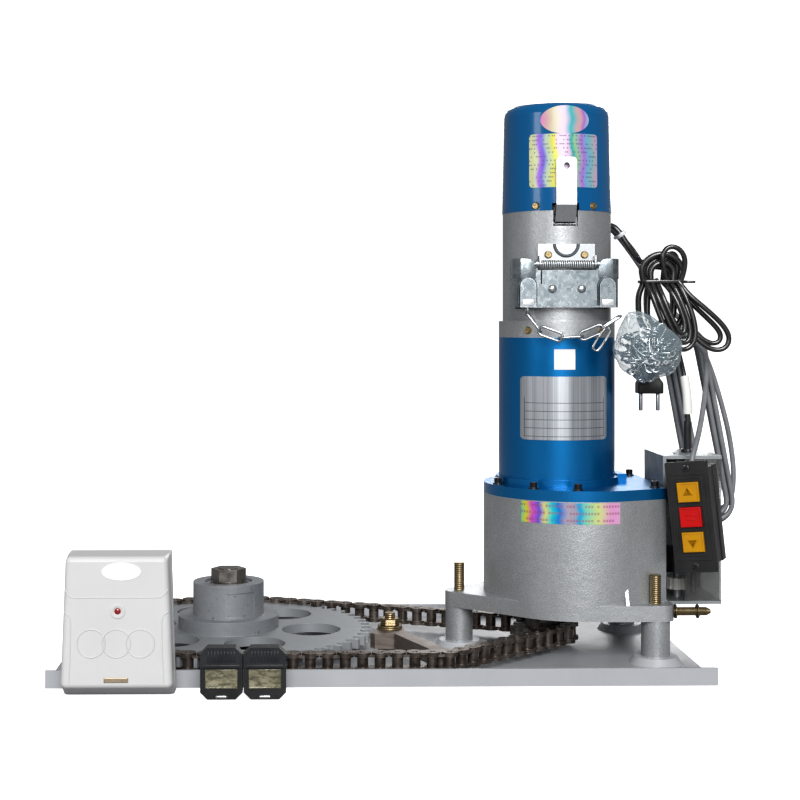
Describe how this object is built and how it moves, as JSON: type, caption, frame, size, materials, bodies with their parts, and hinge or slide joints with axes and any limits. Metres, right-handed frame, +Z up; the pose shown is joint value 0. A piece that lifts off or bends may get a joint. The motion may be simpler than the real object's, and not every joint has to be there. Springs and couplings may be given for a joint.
{
  "type": "industrial door operator",
  "caption": "Rolling shutter door operator: upright geared motor on a base plate, with a roller chain drive to a drum sprocket, hand chain, release lever, push button station and cords.",
  "frame": {"origin": "centre of the base plate's underside, on the surface that it is fixed to", "axes": "+X along the base plate, from the drum sprocket to the motor; +Y to the back; +Z up, along the axle and the motor"},
  "size_m": [0.6793, 0.352, 0.5374],
  "materials": {
    "plate_paint": "light grey paint",
    "silver_paint": "hammered silver paint",
    "hub_grey": "grey painted cast iron",
    "dark_steel": "oiled dark steel",
    "gear_steel": "ground steel",
    "chain_brown": "oiled dark brown steel",
    "cover_blue": "metallic blue paint",
    "cap_blue": "glossy deep blue paint",
    "zinc": "bright zinc plate",
    "yellow_zinc": "yellow zinc plate",
    "black_steel": "black oxide",
    "nameplate": "brushed",
    "bracket_grey": "grey zinc",
    "clear": "smoky clear plastic",
    "bag_film": "crumpled clear film",
    "black_plastic": "black plastic",
    "white_plastic": "white plastic",
    "button_yellow": "yellow plastic",
    "button_red": "red plastic",
    "black_rubber": "black cable sheath",
    "grey_rubber": "grey cable sheath"
  },
  "bodies": {
    "operator": {"base_plate": "plate_paint", "leg_spacers": "silver_paint", "plate_bolts": "yellow_zinc", "drum_axle": "dark_steel", "gear_housing": "silver_paint", "gear_cover": "cover_blue", "cover_screws": "black_steel", "shaft_bearings": "gear_steel", "motor_tube": "cover_blue", "stator": "dark_steel", "end_shield": "silver_paint", "brass_screws": "yellow_zinc", "brake_housing": "silver_paint", "top_cap": "cap_blue", "brake_coil": "dark_steel", "capacitor": "white_plastic", "guide_bracket": "zinc", "guard_spring": "zinc", "pivot_pins": "zinc", "nameplate": "nameplate", "limit_bracket": "bracket_grey", "limit_cover": "clear", "limit_switches": "black_plastic", "earth_bolt": "yellow_zinc", "station_case": "black_plastic", "station_plate": "black_plastic", "chain_bag": "bag_film", "hand_chain": "zinc", "cable_gland": "black_rubber", "drive_chain": "chain_brown", "power_cord": "black_rubber", "power_hank": "black_rubber", "mains_plug": "black_plastic", "limit_cable": "black_rubber", "control_cord": "grey_rubber", "control_hank": "grey_rubber", "cable_ties": "white_plastic"},
    "motor_rotor": {"rotor": "dark_steel", "brake_disc": "dark_steel", "chain_wheel": "dark_steel"},
    "counter_shaft": {"counter_gear": "gear_steel"},
    "output": {"output_shaft": "dark_steel", "drive_sprocket": "dark_steel", "output_gear": "gear_steel"},
    "drum": {"sprocket_wheel": "hub_grey", "sprocket_hub": "hub_grey"},
    "armature": {"armature_plate": "gear_steel"},
    "lever": {"release_lever": "zinc"},
    "guard": {"chain_guard": "zinc"},
    "pawl": {"pawl_arm": "chain_brown"},
    "wheel_upper": {"limit_wheel_upper": "white_plastic"},
    "wheel_lower": {"limit_wheel_lower": "white_plastic"},
    "up_key": {"button_up": "button_yellow"},
    "stop_key": {"button_stop": "button_red"},
    "down_key": {"button_down": "button_yellow"},
    "receiver": {"receiver_case": "white_plastic"},
    "remote_left": {"remote_case_left": "black_plastic"},
    "remote_left_slider": {"remote_cover_left": "black_plastic"},
    "remote_right": {"remote_case_right": "black_plastic"},
    "remote_right_slider": {"remote_cover_right": "black_plastic"}
  },
  "joints": [
    {"name": "motor_spin", "type": "hinge", "parent": "operator", "child": "motor_rotor", "pos_m": [0.181, 0, 0.2], "axis": [0, 0, 1], "continuous": true},
    {"name": "counter_spin", "type": "hinge", "parent": "operator", "child": "counter_shaft", "pos_m": [0.21185, 0.03479, 0.1], "axis": [0, 0, 1], "continuous": true},
    {"name": "output_spin", "type": "hinge", "parent": "operator", "child": "output", "pos_m": [0.1667, 0, 0.06], "axis": [0, 0, 1], "continuous": true},
    {"name": "drum_spin", "type": "hinge", "parent": "operator", "child": "drum", "pos_m": [-0.145, 0, 0.03], "axis": [0, 0, 1], "continuous": true, "deforming": ["drive_chain"]},
    {"name": "release_pull", "type": "hinge", "parent": "operator", "child": "lever", "pos_m": [0.181, -0.041, 0.4202], "axis": [1, 0, 0], "range_deg": [0, 12.5]},
    {"name": "armature_lift", "type": "slide", "parent": "operator", "child": "armature", "axis": [0, 0, 1], "range_m": [0, 0.0022], "stiffness_N_per_m": 500},
    {"name": "guard_swing", "type": "hinge", "parent": "operator", "child": "guard", "pos_m": [0.181, -0.0612, 0.3802], "axis": [-1, 0, 0], "range_deg": [0, 34], "stiffness_Nm_per_rad": 0.3},
    {"name": "pawl_turn", "type": "hinge", "parent": "operator", "child": "pawl", "pos_m": [0.014, -0.019, 0.018], "axis": [0, 0, 1], "range_deg": [-4, 0]},
    {"name": "wheel_upper_turn", "type": "hinge", "parent": "operator", "child": "wheel_upper", "pos_m": [0.29802, -0.014, 0.137], "axis": [0, 0, 1], "continuous": true},
    {"name": "wheel_lower_turn", "type": "hinge", "parent": "operator", "child": "wheel_lower", "pos_m": [0.29802, -0.014, 0.067], "axis": [0, 0, 1], "continuous": true},
    {"name": "up_press", "type": "slide", "parent": "operator", "child": "up_key", "axis": [0.454, 0.891, 0], "range_m": [0, 0.003], "stiffness_N_per_m": 300},
    {"name": "stop_press", "type": "slide", "parent": "operator", "child": "stop_key", "axis": [0.454, 0.891, 0], "range_m": [0, 0.003], "stiffness_N_per_m": 300},
    {"name": "down_press", "type": "slide", "parent": "operator", "child": "down_key", "axis": [0.454, 0.891, 0], "range_m": [0, 0.003], "stiffness_N_per_m": 300},
    {"name": "receiver_lift", "type": "slide", "parent": "operator", "child": "receiver", "axis": [0, 0, 1], "range_m": [0, 0.2]},
    {"name": "remote_left_lift", "type": "slide", "parent": "operator", "child": "remote_left", "axis": [0, 0, 1], "range_m": [0, 0.2]},
    {"name": "remote_left_slide", "type": "slide", "parent": "remote_left", "child": "remote_left_slider", "axis": [0, 0, 1], "range_m": [0, 0.012]},
    {"name": "remote_right_lift", "type": "slide", "parent": "operator", "child": "remote_right", "axis": [0, 0, 1], "range_m": [0, 0.2]},
    {"name": "remote_right_slide", "type": "slide", "parent": "remote_right", "child": "remote_right_slider", "axis": [0, 0, 1], "range_m": [0, 0.012]}
  ],
  "couplings": [
    {"joint": "counter_spin", "follows": "motor_spin", "ratio": -0.24},
    {"joint": "output_spin", "follows": "motor_spin", "ratio": 0.064},
    {"joint": "drum_spin", "follows": "motor_spin", "ratio": 0.013037},
    {"joint": "release_pull", "follows": "armature_lift", "rad_per_m": 95.2}
  ]
}
